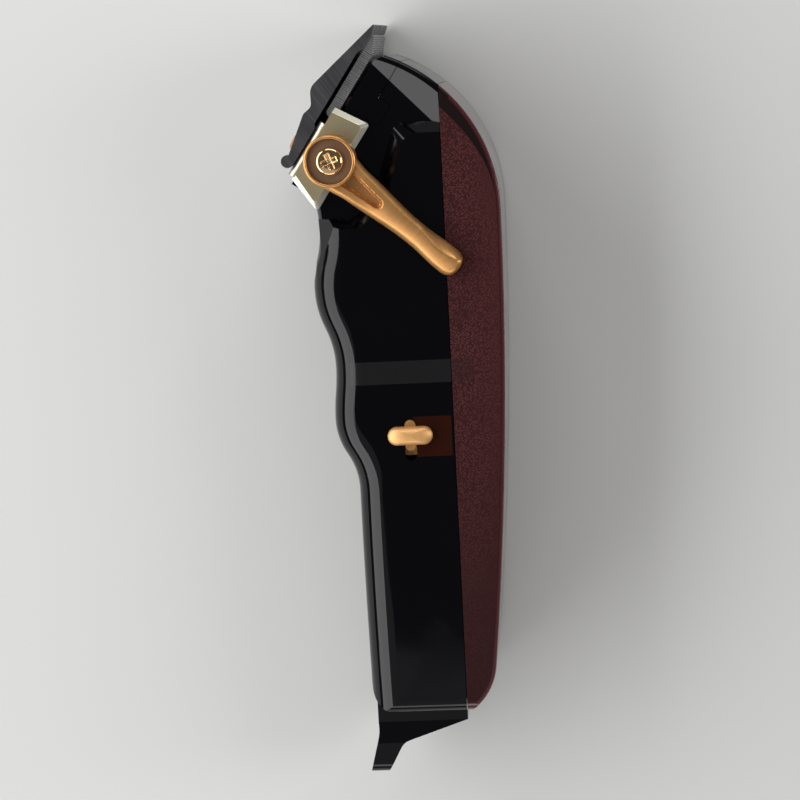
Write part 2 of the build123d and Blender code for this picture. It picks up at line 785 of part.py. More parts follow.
def make_taper_lever():
    boss = rod((0, 0, boss_base), (0, 0, 1), boss_radius, boss_height)
    boss = fillet(boss.edges().filter_by(GeomType.CIRCLE).group_by(Axis.Z)[-1], boss_round)
    solid = boss + lever_arm()
    solid -= rod((0, 0, boss_top - boss_recess_depth), (0, 0, 1), boss_recess_radius, far)
    cam_turn = turn + radians(cam_lead + 90 - lever_rest_angle)
    cam_place = (cam_throw * cos(cam_turn), cam_throw * sin(cam_turn), ear_inner + fit_gap)
    solid += rod(cam_place, (0, 0, 1), cam_radius, boss_base - ear_inner)
    solid -= rod((0, 0, 0), (0, 0, 1), post_radius + fit_gap, far)
    return Pos(pivot_x, pivot_y, 0) * Rot(0, 0, lever_rest_angle) * solid


def make_lever_post():
    low = head_half - post_length
    solid = rod((0, 0, low), (0, 0, 1), post_radius, washer_base - low)
    return Pos(pivot_x, pivot_y, 0) * (solid - rod((0, 0, low + post_floor), (0, 0, 1), post_bore, far))


def make_lever_washer():
    ring = rod((0, 0, washer_base), (0, 0, 1), boss_recess_radius - slide_gap, washer_thickness)
    return Pos(pivot_x, pivot_y, 0) * (ring - rod((0, 0, 0), (0, 0, 1), post_bore + fit_gap, far))


def make_lever_screw():
    low = head_half - post_length + lever_screw_end
    top = rod((0, 0, washer_top), (0, 0, 1), lever_screw_head, lever_screw_height)
    top = fillet(top.edges().filter_by(GeomType.CIRCLE).group_by(Axis.Z)[-1], lever_screw_dome)
    return Pos(pivot_x, pivot_y, 0) * (top + rod((0, 0, low), (0, 0, 1), post_bore, washer_top - low))


def make_battery():
    can_length = battery_length - battery_button_height
    solid = rod((battery_x, rear_bay, battery_z), (0, 1, 0), battery_radius, can_length)
    solid = fillet(solid.edges().filter_by(GeomType.CIRCLE), battery_round)
    button = (battery_x, rear_bay + can_length, battery_z)
    return solid + rod(button, (0, 1, 0), battery_button_radius, battery_button_height)


def make_circuit_board():
    face = Pos(-switch_depth, board_y) * RectangleRounded(board_width, board_length, board_round)
    solid = slab(face, board_top - board_thickness, board_top)
    for x, y in board_post_places():
        solid -= rod((x, y, 0), (0, 0, 1), screw_radius + fit_gap, far)
    return solid


def make_board_screws():
    seat = board_top - board_thickness
    screws = []
    for x, y in board_post_places():
        shank = rod((x, y, seat), (0, 0, 1), screw_radius, board_thickness + board_screw_bite)
        screws.append(shank + rod((x, y, seat), (0, 0, -1), screw_head_radius, screw_head_height))
    return screws


def make_switch_body():
    face = Pos(-switch_depth, switch_y) * Rectangle(switch_body_width, switch_body_length)
    solid = slab(face, board_top, board_top + switch_body_height)
    return chamfer(solid.edges().group_by(Axis.Z)[-1], switch_body_chamfer)


def make_switch_slider():
    low = board_top + switch_body_height + seat_gap
    bar = Pos(-switch_depth, switch_y) * Rot(0, 0, 90) * SlotOverall(bar_length, bar_width)
    flange = Pos(-switch_depth, switch_y) * RectangleRounded(flange_width, flange_length, flange_round)
    return slab(bar, low, half_width + bar_proud) + slab(flange, low, inner_half - seat_gap)


def make_switch_thumb():
    pill = Pos(-switch_depth, switch_y) * SlotOverall(thumb_length, thumb_width)
    low = half_width + bar_proud
    solid = slab(pill, low, low + thumb_height)
    return fillet(solid.edges().group_by(Axis.Z)[-1], thumb_round)


def make_motor():
    can = rod((-motor_depth, motor_rear, 0), (0, 1, 0), motor_radius, motor_length)
    can = fillet(can.edges().filter_by(GeomType.CIRCLE), motor_round)
    can += rod((-motor_depth, motor_front, 0), (0, 1, 0), motor_boss_radius, motor_boss_height)
    bearing = (-motor_depth, motor_front - shaft_bearing - bearing_end, 0)
    can -= rod(bearing, (0, 1, 0), shaft_radius + fit_gap, far)
    for side in (-1, 1):
        mouth = (-motor_depth, motor_front, side * motor_screw_z)
        can -= rod(mouth, (0, -1, 0), screw_radius, motor_screw_bite + motor_screw_end)
    return can


def make_motor_plate():
    reach_x, reach_z = motor_plate_depth / 2, head_inner - seat_gap
    front = motor_front + motor_plate_thickness
    solid = block((-motor_depth - reach_x, motor_front, -reach_z), (-motor_depth + reach_x, front, reach_z))
    solid -= rod((-motor_depth, 0, 0), (0, 1, 0), motor_boss_radius + fit_gap, far)
    for side in (-1, 1):
        solid -= rod((-motor_depth, 0, side * motor_screw_z), (0, 1, 0), screw_radius + fit_gap, far)
    return solid


def make_motor_screws():
    seat = motor_front + motor_plate_thickness
    screws = []
    for side in (-1, 1):
        centre = (-motor_depth, seat, side * motor_screw_z)
        shank = rod(centre, (0, -1, 0), screw_radius, motor_plate_thickness + motor_screw_bite)
        screws.append(shank + rod(centre, (0, 1, 0), screw_head_radius, screw_head_height))
    return screws


def make_motor_shaft():
    start = motor_front - shaft_bearing
    return rod((-motor_depth, start, 0), (0, 1, 0), shaft_radius, eccentric_rear + eccentric_length - start)


def make_eccentric():
    hub = rod((-motor_depth, eccentric_rear, 0), (0, 1, 0), eccentric_radius, eccentric_length)
    hub -= rod((-motor_depth, 0, 0), (0, 1, 0), shaft_radius, far)
    crank = (-motor_depth, eccentric_rear + eccentric_length, stroke)
    return hub + rod(crank, (0, 1, 0), crank_radius, crank_length)


def make_drive_yoke():
    reach_x, reach_z = yoke_size / 2, yoke_width / 2
    front = yoke_rear + yoke_length
    solid = block((-motor_depth - reach_x, yoke_rear, -reach_z), (-motor_depth + reach_x, front, reach_z))
    reach = finger_width / 2
    finger_top = blade_plane - 2 * run_gap
    finger = head * block((finger_p - reach, -finger_root, -reach), (finger_p + reach, finger_top, reach))
    solid += finger & block((-far, yoke_rear + yoke_slot_depth, -far), (far, far, far))
    slot_x, slot_z = crank_radius + stroke + run_gap, crank_radius + slide_gap
    slot_front = yoke_rear + yoke_slot_depth
    solid -= block((-motor_depth - slot_x, 0, -slot_z), (-motor_depth + slot_x, slot_front, slot_z))
    return solid - rod((rod_x, rod_y, -far), (0, 0, 1), rod_radius + fit_gap, 2 * far)


def make_yoke_rod():
    reach = head_inner - rod_end
    return rod((rod_x, rod_y, -reach), (0, 0, 1), rod_radius, 2 * reach)


def make_casing_screws():
    screws = []
    for y, z in post_places():
        seat = (-screw_shelf, y, z)
        shank = rod(seat, (1, 0, 0), screw_radius, screw_shelf + screw_bite - screw_end)
        screws.append(shank + rod(seat, (-1, 0, 0), screw_head_radius, screw_head_height))
    return screws


def cap_outline():
    # Side view of cap and hook: an arc round the casing heel, then the lip, the throat and the bent tail.
    left = cap_inset - handle_foot_depth
    tail_left = left - hook_kick
    heel_x = heel_corner - handle_foot_depth
    heel_reach = heel_corner + part_gap
    side_y = heel_corner - sqrt(heel_reach**2 - (left - heel_x)**2)
    throat = (left + hook_throat_width, -hook_throat)
    bend = (left, -hook_bend)
    edges = Polyline(
        (heel_x, -part_gap),
        (-part_gap, -part_gap),
        (-part_gap, -cap_lip),
        throat,
        (tail_left + hook_thickness, -hook_reach),
        (tail_left, -hook_reach),
        bend,
        (left, side_y),
    ).edges()
    edges += TangentArc((heel_x, -part_gap), (left, side_y), tangent=(-1, 0)).edges()
    face = Face(Wire(edges))
    face = fillet(face.vertices().sort_by_distance(throat)[0], hook_throat_round)
    return fillet(face.vertices().sort_by_distance(bend)[0], hook_bend_round)


def make_rear_cap():
    # Side view of the cap and hook, cut to the front view that narrows to the tip.
    solid = extrude(cap_outline(), amount=hook_width / 2, both=True)
    wide, narrow = hook_width / 2, hook_tip_width / 2
    front = polygon([
        (far, -wide), (-cap_lip, -wide), (-hook_throat, -narrow), (-hook_reach, -narrow),
        (-hook_reach, narrow), (-hook_throat, narrow), (-cap_lip, wide), (far, wide),
    ])
    front = fillet(front.vertices().group_by(Axis.X)[0], hook_corner)
    solid &= extrude(Plane.YZ * front, amount=far, both=True)
    solid -= rod((-far, -hook_eye_reach, 0), (1, 0, 0), hook_eye_radius, 2 * far)
    return solid - rod((-socket_depth, -far, 0), (0, 1, 0), socket_radius, 2 * far)


def make_charging_socket():
    solid = rod((-socket_depth, socket_face, 0), (0, 1, 0), socket_radius, socket_length - socket_face)
    return solid - rod((-socket_depth, -far, 0), (0, 1, 0), socket_bore, far + socket_length - socket_floor)


def build_pieces():
    body = body_solid()
    shell = body - cavity_solid()
    return {
        "lower_casing": make_lower_casing(body, shell),
        "top_lid": make_top_lid(body, shell),
        "nose_cap": make_nose_cap(body),
        "rear_cap": make_rear_cap(),
        "charging_socket": make_charging_socket(),
        "casing_screws": make_casing_screws(),
        "nose_screws": make_nose_screws(),
        "bottom_blade": make_bottom_blade(),
        "top_blade": make_top_blade(),
        "blade_bracket": make_blade_bracket(),
        "blade_screws": make_blade_screws(),
        "bracket_guide_pin": make_guide_pin(),
        "tension_spring": make_tension_spring(),
        "taper_lever": make_taper_lever(),
        "lever_post": make_lever_post(),
        "lever_washer": make_lever_washer(),
        "lever_screw": make_lever_screw(),
        "battery": make_battery(),
        "circuit_board": make_circuit_board(),
        "board_screws": make_board_screws(),
        "switch_body": make_switch_body(),
        "switch_slider": make_switch_slider(),
        "switch_thumb": make_switch_thumb(),
        "motor": make_motor(),
        "motor_plate": make_motor_plate(),
        "motor_screws": make_motor_screws(),
        "motor_shaft": make_motor_shaft(),
        "eccentric": make_eccentric(),
        "drive_yoke": make_drive_yoke(),
        "yoke_rod": make_yoke_rod(),
    }


def placed(piece):
    # A list holds like fasteners, kept as separate solids of one node.
    if isinstance(piece, list):
        return Compound([place * fastener.solid() for fastener in piece])
    return place * piece


def main():
    os.makedirs("parts", exist_ok=True)
    for name, piece in build_pieces().items():
        export_step(placed(piece), f"parts/{name}.step")


if __name__ == "__main__":
    main()
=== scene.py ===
import math

import bpy
import numpy as np
from mathutils import Matrix, Vector


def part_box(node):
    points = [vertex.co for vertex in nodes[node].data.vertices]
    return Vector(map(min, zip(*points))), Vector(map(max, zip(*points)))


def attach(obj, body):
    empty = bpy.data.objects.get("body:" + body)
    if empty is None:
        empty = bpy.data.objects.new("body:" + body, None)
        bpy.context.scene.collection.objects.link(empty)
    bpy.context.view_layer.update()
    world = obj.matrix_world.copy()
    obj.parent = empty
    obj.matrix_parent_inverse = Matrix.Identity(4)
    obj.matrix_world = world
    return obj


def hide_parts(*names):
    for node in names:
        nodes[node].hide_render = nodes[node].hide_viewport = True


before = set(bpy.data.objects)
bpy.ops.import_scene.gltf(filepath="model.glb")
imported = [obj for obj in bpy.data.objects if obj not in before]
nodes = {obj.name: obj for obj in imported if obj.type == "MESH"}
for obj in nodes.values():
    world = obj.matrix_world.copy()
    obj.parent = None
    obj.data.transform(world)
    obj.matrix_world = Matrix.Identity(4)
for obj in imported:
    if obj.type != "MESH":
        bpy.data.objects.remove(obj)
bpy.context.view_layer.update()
scene = bpy.context.scene
mm = 0.001
print("frame loaded,", len(nodes), "nodes")


def linear(code):
    # sRGB hex code to scene-linear rgba
    values = np.array([int(code[i:i + 2], 16) for i in (0, 2, 4)]) / 255
    dark, light = values / 12.92, ((values + 0.055) / 1.055) ** 2.4
    return (*np.where(values < 0.04045, dark, light), 1.0)


# node helpers: a socket takes a link from another socket, or a plain value
def feed(tree, node, values):
    for key, given in values.items():
        if isinstance(given, bpy.types.NodeSocket):
            tree.links.new(given, node.inputs[key])
        else:
            node.inputs[key].default_value = given


def newMaterial(name):
    material = bpy.data.materials.new(name)
    material.use_nodes = True
    return material, material.node_tree, material.node_tree.nodes["Principled BSDF"]


def addNode(tree, kind, inputs, **settings):
    node = tree.nodes.new(kind)
    for key, value in settings.items():
        setattr(node, key, value)
    feed(tree, node, inputs)
    return node.outputs


def mathNode(tree, operation, a, b=0.0):
    return addNode(tree, "ShaderNodeMath", {0: a, 1: b}, operation=operation)[0]


def vectorMath(tree, operation, a, b):
    return addNode(tree, "ShaderNodeVectorMath", {0: a, 1: b}, operation=operation)[0]


def turnFlat(tree, vector, angle):
    given = {"Vector": vector, "Angle": angle}
    return addNode(tree, "ShaderNodeVectorRotate", given, rotation_type="Z_AXIS")[0]


def mixColour(tree, factor, a, b):
    # sockets 6 and 7 are the Mix node's two colours, and output 2 is their mix
    return addNode(tree, "ShaderNodeMix", {0: factor, 6: a, 7: b}, data_type="RGBA")[2]


def ramp(tree, value, low, high, outLow=0.0, outHigh=1.0):
    # smooth step from low to high
    given = dict(enumerate((value, low, high, outLow, outHigh)))
    return addNode(tree, "ShaderNodeMapRange", given, interpolation_type="SMOOTHSTEP")[0]


def noise(tree, vector, scale, detail, distortion=0.0):
    given = {"Vector": vector, "Scale": scale, "Detail": detail, "Distortion": distortion}
    return addNode(tree, "ShaderNodeTexNoise", given)


def bumpNormal(tree, height, strength, distance):
    given = {"Strength": strength, "Distance": distance, "Height": height}
    return addNode(tree, "ShaderNodeBump", given)[0]


def objectPoint(tree):
    return addNode(tree, "ShaderNodeTexCoord", {})["Object"]


def axes(tree, vector):
    return addNode(tree, "ShaderNodeSeparateXYZ", {0: vector})


# inputs come with their first values, and every output is a plain value
def newGroup(name, inputs, outputs):
    tree = bpy.data.node_groups.new(name, "ShaderNodeTree")
    for title, value in inputs.items():
        kind = "NodeSocketVector" if isinstance(value, tuple) else "NodeSocketFloat"
        socket = tree.interface.new_socket(title, in_out="INPUT", socket_type=kind)
        socket.default_value = value
    for title in outputs:
        tree.interface.new_socket(title, in_out="OUTPUT", socket_type="NodeSocketFloat")
    return tree, tree.nodes.new("NodeGroupInput").outputs, tree.nodes.new("NodeGroupOutput")


def useGroup(tree, group, **values):
    return addNode(tree, "ShaderNodeGroup", values, node_tree=group)


# soft-edged box in object space, 1 inside and 0 outside
def makePanelMask():
    soft = (0.0001, 0.0001, 0.0001)
    tree, given, out = newGroup(
        "panelMask", {"Low": (0, 0, 0), "High": (1, 1, 1), "Soft": soft}, ["Mask"])
    point = axes(tree, objectPoint(tree))
    low, high, soft = (axes(tree, given[title]) for title in ("Low", "High", "Soft"))
    mask = 1.0
    for axis in "XYZ":
        full = mathNode(tree, "ADD", low[axis], soft[axis])
        fading = mathNode(tree, "SUBTRACT", high[axis], soft[axis])
        start = ramp(tree, point[axis], low[axis], full)
        end = ramp(tree, point[axis], fading, high[axis], 1.0, 0.0)
        mask = mathNode(tree, "MULTIPLY", mask, mathNode(tree, "MULTIPLY", start, end))
    feed(tree, out, {"Mask": mask})
    return tree


# handling marks: broad smudges, hairlines and fine specks, as a roughness, a dust mask and a height
handlingLook = {
    "smudgeScale": 60.0, "smudgeDetail": 5.0, "smudgeWarp": 0.6, "smudgeSpan": (0.38, 0.72),
    "hairTurn": (0.2, 0.1, 0.5), "hairScale": (2600, 60, 900), "hairDetail": 2.0,
    "hairSpan": (0.66, 0.76), "hairShare": 0.8,
    "speckScale": 700.0, "speckSpan": (0.02, 0.10), "speckField": (0.45, 0.65),
}


def makeHandling():
    look = handlingLook
    tree, given, out = newGroup(
        "handling", {"Smooth": 0.1, "Rough": 0.2, "Specks": 0.3}, ["Roughness", "Dust", "Height"])
    point = objectPoint(tree)
    smudge = noise(tree, point, look["smudgeScale"], look["smudgeDetail"], look["smudgeWarp"])[0]
    drawn = addNode(tree, "ShaderNodeMapping", {
        "Vector": point, "Rotation": look["hairTurn"], "Scale": look["hairScale"]})[0]
    hairline = ramp(tree, noise(tree, drawn, 1.0, look["hairDetail"])[0], *look["hairSpan"])
    speck = addNode(tree, "ShaderNodeTexVoronoi", {"Vector": point, "Scale": look["speckScale"]})
    dots = ramp(tree, speck["Distance"], *look["speckSpan"], 1.0, 0.0)
    dots = mathNode(tree, "MULTIPLY", dots, ramp(tree, smudge, *look["speckField"]))
    rough = mathNode(tree, "MAXIMUM", ramp(tree, smudge, *look["smudgeSpan"]),
                     mathNode(tree, "MULTIPLY", hairline, look["hairShare"]))
    feed(tree, out, {
        "Roughness": ramp(tree, rough, 0.0, 1.0, given["Smooth"], given["Rough"]),
        "Dust": mathNode(tree, "MULTIPLY", dots, given["Specks"]),
        "Height": mathNode(tree, "SUBTRACT", smudge, hairline)})
    return tree


# grinding marks: noise drawn out along one direction, as a roughness, a tint and a height
grindingLook = {
    "drawn": (3500.0, 40.0, 3500.0), "detail": 4.0, "markShare": 0.7,
    "cloudScale": 180.0, "cloudDetail": 3.0, "cloudShare": 0.3,
    "span": (0.3, 0.7), "tint": (0.9, 1.0),
}


def makeGrinding():
    look = grindingLook
    tree, given, out = newGroup("grinding", {"Turn": (0, 0, 0), "Smooth": 0.2, "Rough": 0.4},
                                ["Roughness", "Tint", "Height"])
    point = objectPoint(tree)
    turned = addNode(tree, "ShaderNodeVectorRotate", {"Vector": point, "Rotation": given["Turn"]},
                     rotation_type="EULER_XYZ")[0]
    marks = noise(tree, vectorMath(tree, "MULTIPLY", turned, look["drawn"]), 1.0, look["detail"])[0]
    cloud = noise(tree, point, look["cloudScale"], look["cloudDetail"])[0]
    both = mathNode(tree, "ADD", mathNode(tree, "MULTIPLY", marks, look["markShare"]),
                    mathNode(tree, "MULTIPLY", cloud, look["cloudShare"]))
    feed(tree, out, {
        "Roughness": ramp(tree, both, *look["span"], given["Smooth"], given["Rough"]),
        "Tint": ramp(tree, both, *look["span"], *look["tint"]),
        "Height": marks})
    return tree


panelMask, handling, grinding = makePanelMask(), makeHandling(), makeGrinding()
print("shared effects ready")


# gloss black moulding with the bare satin band and the bare brown field beside the switch
casingLook = {
    "black": linear("030305"), "dust": linear("202022"),
    "smooth": 0.05, "rough": 0.12, "specks": 0.25,
    "band": linear("161617"), "bandLow": (-0.0122, 0.0109, 0.0452),
    "bandHigh": (0.0093, 0.0158, 0.047),
    "field": linear("240A03"), "fieldLow": (0.0007, -0.0047, 0.0452),
    "fieldHigh": (0.00878, 0.0039, 0.047),
    "sharp": (0.0001, 0.0001, 0.0003), "bareRough": 0.08,
    "specular": 0.25, "bump": 0.03, "bumpDepth": 0.0002,
}


def makeCasingMaterial():
    look = casingLook
    material, tree, shader = newMaterial("glossBlack")
    marks = useGroup(tree, handling, Smooth=look["smooth"], Rough=look["rough"],
                     Specks=look["specks"])
    colour = mixColour(tree, marks["Dust"], look["black"], look["dust"])
    bare = 0.0
    for place in ("band", "field"):
        mask = useGroup(tree, panelMask, Low=look[place + "Low"], High=look[place + "High"],
                        Soft=look["sharp"])["Mask"]
        colour = mixColour(tree, mask, colour, look[place])
        bare = mathNode(tree, "MAXIMUM", bare, mask)
    satin = mathNode(tree, "MULTIPLY", bare, look["bareRough"])
    feed(tree, shader, {
        "Base Color": colour,
        "Roughness": mathNode(tree, "ADD", marks["Roughness"], satin),
        "Specular IOR Level": look["specular"],
        "Normal": bumpNormal(tree, marks["Height"], look["bump"], look["bumpDepth"])})
    return material


# burgundy lid: leather grain on the two flat flanks, strongest at the parting line,
# and gloss on the crown; the grain's colour carries painted shade in the creases and a painted
# highlight on the pebble tops
lidLook = {
    # the crease colour is painted shade in the grain's creases, and the light colour is a painted
    # highlight on the pebble tops
    "burgundy": linear("371718"), "creaseShade": linear("1F0A0B"), "light": linear("4A2525"),
    # the rim colour is a near-black painted reflection along the flank's edge by the crown
    "rear": linear("200C0D"), "crown": linear("401A1D"), "rim": linear("120A0B"),
    "grain": 2050.0, "grainRandom": 0.6, "slant": 0.72, "pebbleSpan": (0.18, 0.62),
    "wander": 0.00018, "wanderScale": 420.0, "wanderDetail": 1.0,
    "toneScale": 140.0, "toneDetail": 3.0, "toneSpan": (0.1, 0.6), "creaseShadeDepth": 0.6,
    "flankHigh": (0.04586, 0.04594), "flankLow": (0.00006, 0.00014),
    "crownFade": (0.0120, 0.0210), "crownLeast": 0.4,  # how far the grain fades out
    "rearFade": (-0.075, 0.045), "rearLeast": 0.12,
    "rimStart": 0.047, "rimBend": 23.9, "rimEdge": (0.0202, 0.0204),
    "band": linear("251314"), "bandLow": (0.009, 0.0109, 0.0455),
    "bandHigh": (0.0139, 0.0158, 0.047), "bandSoft": (0.0001, 0.0001, 0.0003), "bandDepth": 0.5,
    "smooth": 0.14, "rough": 0.26, "flankRough": 0.5, "coat": 0.7, "coatRough": 0.1,
    "specular": 0.1, "bump": 0.25, "bumpDepth": 0.0001,
}


def lidGrain(tree, point):
    # slanted cells, shifted a little by noise: 1 on top of a pebble, 0 in the crease round it
    look = lidLook
    warp = noise(tree, point, look["wanderScale"], look["wanderDetail"])["Color"]
    wander = vectorMath(tree, "MULTIPLY", warp, (look["wander"],) * 3)
    turned = turnFlat(tree, vectorMath(tree, "ADD", point, wander), look["slant"])
    cells = addNode(tree, "ShaderNodeTexVoronoi", {
        "Vector": turned, "Scale": look["grain"], "Randomness": look["grainRandom"]})
    return ramp(tree, cells["Distance"], *look["pebbleSpan"], 1.0, 0.0)


def lidFlank(tree, place):
    # both flanks by height, less a matte rim along the crown edge whose edge falls back by a
    # parabola towards the nose; the rim carries a near-black painted reflection
    look = lidLook
    flank = mathNode(tree, "MAXIMUM", ramp(tree, place["Z"], *look["flankHigh"]),
                     ramp(tree, place["Z"], *look["flankLow"], 1.0, 0.0))
    ahead = mathNode(tree, "SUBTRACT", place["Y"], look["rimStart"])
    ahead = mathNode(tree, "MAXIMUM", ahead, 0.0)
    fall = mathNode(tree, "MULTIPLY", mathNode(tree, "MULTIPLY", ahead, ahead), look["rimBend"])
    within = ramp(tree, mathNode(tree, "ADD", place["X"], fall), *look["rimEdge"], 1.0, 0.0)
    grained = mathNode(tree, "MULTIPLY", flank, within)
    return grained, mathNode(tree, "SUBTRACT", flank, grained)


def makeLidMaterial():
    look = lidLook
    material, tree, shader = newMaterial("burgundyGrain")
    point = objectPoint(tree)
    place = axes(tree, point)
    pebble = lidGrain(tree, point)
    flank, rim = lidFlank(tree, place)
    toCrown = ramp(tree, place["X"], *look["crownFade"], 1.0, look["crownLeast"])
    toRear = ramp(tree, place["Y"], *look["rearFade"])
    fade = mathNode(tree, "MULTIPLY", toCrown, ramp(tree, toRear, 0.0, 1.0, look["rearLeast"], 1.0))
    fade = mathNode(tree, "MULTIPLY", flank, fade)
    height = mathNode(tree, "MULTIPLY", pebble, fade)
    tone = noise(tree, point, look["toneScale"], look["toneDetail"])[0]
    # painted highlight: pebble tops lighter, varied by a random tone
    lit = mathNode(tree, "MULTIPLY", height, ramp(tree, tone, *look["toneSpan"]))
    # painted shade: darker colour in the creases between the pebbles
    creaseShading = mathNode(tree, "MULTIPLY", mathNode(tree, "SUBTRACT", 1.0, pebble), fade)
    creaseShading = mathNode(tree, "MULTIPLY", creaseShading, look["creaseShadeDepth"])
    band = useGroup(tree, panelMask, Low=look["bandLow"], High=look["bandHigh"],
                    Soft=look["bandSoft"])["Mask"]
    band = mathNode(tree, "MULTIPLY", band, look["bandDepth"])
    marks = useGroup(tree, handling, Smooth=look["smooth"], Rough=look["rough"], Specks=0.0)
    colour = mixColour(tree, toRear, look["rear"], look["burgundy"])
    colour = mixColour(tree, lit, colour, look["light"])
    colour = mixColour(tree, creaseShading, colour, look["creaseShade"])
    colour = mixColour(tree, flank, look["crown"], colour)
    # painted reflection: near-black colour on the matte rim of the flank
    colour = mixColour(tree, rim, colour, look["rim"])
    feed(tree, shader, {
        "Base Color": mixColour(tree, band, colour, look["band"]),
        "Roughness": ramp(tree, flank, 0.0, 1.0, marks["Roughness"], look["flankRough"]),
        "Coat Weight": ramp(tree, flank, 0.0, 1.0, look["coat"], 0.0),
        "Coat Roughness": look["coatRough"], "Specular IOR Level": look["specular"],
        "Normal": bumpNormal(tree, height, look["bump"], look["bumpDepth"])})
    return material


# metals share one recipe: base colour broken by grinding marks
metalBumpDepth = 0.00005
black = (0, 0, 0, 1)
metalLooks = {
    "bladeSteel": {"colour": (0.36, 0.36, 0.365, 1), "turn": (0, 0, -0.593), "smooth": 0.15,
                   "rough": 0.26, "bump": 0.01, "metallic": 1.0},
    "goldPlate": {"colour": (0.56, 0.28, 0.095, 1), "turn": (0, 0, 0.83), "smooth": 0.32,
                  "rough": 0.4, "bump": 0.02, "metallic": 0.8},
    # lighter copy of the gold plate for the switch thumb: the extra lightness is a painted highlight
    "goldPaintedHighlight": {"colour": (0.66, 0.36, 0.135, 1), "turn": (0, 0, 0), "smooth": 0.42,
                 "rough": 0.5, "bump": 0.02, "metallic": 0.6},
    "goldPolish": {"colour": (0.85, 0.58, 0.30, 1), "turn": (0, 0, 0.3), "smooth": 0.06,
                   "rough": 0.12, "bump": 0.02, "metallic": 1.0},
    "washerBronze": {"colour": (0.135, 0.070, 0.034, 1), "turn": (0, 0, 0.4), "smooth": 0.5,
                     "rough": 0.65, "bump": 0.05, "metallic": 0.3},
    "zincSteel": {"colour": (0.58, 0.58, 0.57, 1), "turn": (0, 0, 0), "smooth": 0.22,
                  "rough": 0.4, "bump": 0.05, "metallic": 1.0},
}


def makeMetal(name):
    look = metalLooks[name]
    material, tree, shader = newMaterial(name)
    marks = useGroup(tree, grinding, Turn=look["turn"], Smooth=look["smooth"], Rough=look["rough"])
    feed(tree, shader, {
        "Base Color": mixColour(tree, marks["Tint"], black, look["colour"]),
        "Roughness": marks["Roughness"], "Metallic": look["metallic"],
        "Normal": bumpNormal(tree, marks["Height"], look["bump"], metalBumpDepth)})
    return material


# bracket: satin chrome, with a warmer, lighter colour on the flat of the ear as a painted reflection
bracketLook = {
    # the face colour is a painted reflection: a lighter, warmer copy of the chrome for the ear's
    # flat face
    "chrome": (0.50, 0.48, 0.41, 1), "face": (0.66, 0.57, 0.36, 1), "faceLevel": (0.04503, 0.04507),
    "turn": (0, 0, 0.93), "smooth": 0.38, "rough": 0.41, "faceRough": 0.36,
}


def makeBracketMaterial():
    look = bracketLook
    material, tree, shader = newMaterial("bracketChrome")
    marks = useGroup(tree, grinding, Turn=look["turn"], Smooth=look["smooth"], Rough=look["rough"])
    face = ramp(tree, axes(tree, objectPoint(tree))["Z"], *look["faceLevel"])
    # painted reflection on the flat of the ear
    colour = mixColour(tree, face, look["chrome"], look["face"])
    feed(tree, shader, {
        "Base Color": mixColour(tree, marks["Tint"], black, colour),
        "Roughness": ramp(tree, face, 0.0, 1.0, marks["Roughness"], look["faceRough"]),
        "Metallic": 1.0})
    return material


# moving blade: bright steel with even grinding lines square to its length
cutterLook = {
    "dark": (0.36, 0.36, 0.36, 1), "bright": (0.72, 0.72, 0.71, 1), "turn": -0.977,
    "spacing": 0.00043, "unevenness": 0.8, "lineSpan": (-0.6, 1.0), "smooth": 0.22, "rough": 0.4,
    "bump": 0.15, "bumpDepth": 0.00004,
}


def makeCutterMaterial():
    look = cutterLook
    material, tree, shader = newMaterial("cutterSteel")
    marks = useGroup(tree, grinding, Turn=(0, 0, look["turn"]), Smooth=look["smooth"],
                     Rough=look["rough"])
    along = axes(tree, turnFlat(tree, objectPoint(tree), look["turn"]))["X"]
    wave = mathNode(tree, "SINE", mathNode(tree, "MULTIPLY", along, 2 * math.pi / look["spacing"]))
    uneven = mathNode(tree, "MULTIPLY", marks["Height"], look["unevenness"])
    line = ramp(tree, mathNode(tree, "ADD", wave, uneven), *look["lineSpan"])
    feed(tree, shader, {
        "Base Color": mixColour(tree, line, look["dark"], look["bright"]),
        "Roughness": marks["Roughness"], "Metallic": 1.0,
        "Normal": bumpNormal(tree, line, look["bump"], look["bumpDepth"])})
    return material


# plain mouldings inside the casing and the charging socket
plasticDust = {"colour": linear("A0A0A0"), "specks": 0.4}
plasticLooks = {
    "socketBlack": {"colour": linear("161617"), "smooth": 0.35, "rough": 0.55},
    "nylon": {"colour": linear("D8D3C2"), "smooth": 0.4, "rough": 0.6},
    "cellWrap": {"colour": linear("2E7A6C"), "smooth": 0.2, "rough": 0.35},
    "boardGreen": {"colour": linear("14552F"), "smooth": 0.25, "rough": 0.45},
}


def makePlastic(name):
    look = plasticLooks[name]
    material, tree, shader = newMaterial(name)
    marks = useGroup(tree, handling, Smooth=look["smooth"], Rough=look["rough"],
                     Specks=plasticDust["specks"])
    feed(tree, shader, {
        "Base Color": mixColour(tree, marks["Dust"], look["colour"], plasticDust["colour"]),
        "Roughness": marks["Roughness"]})
    return material


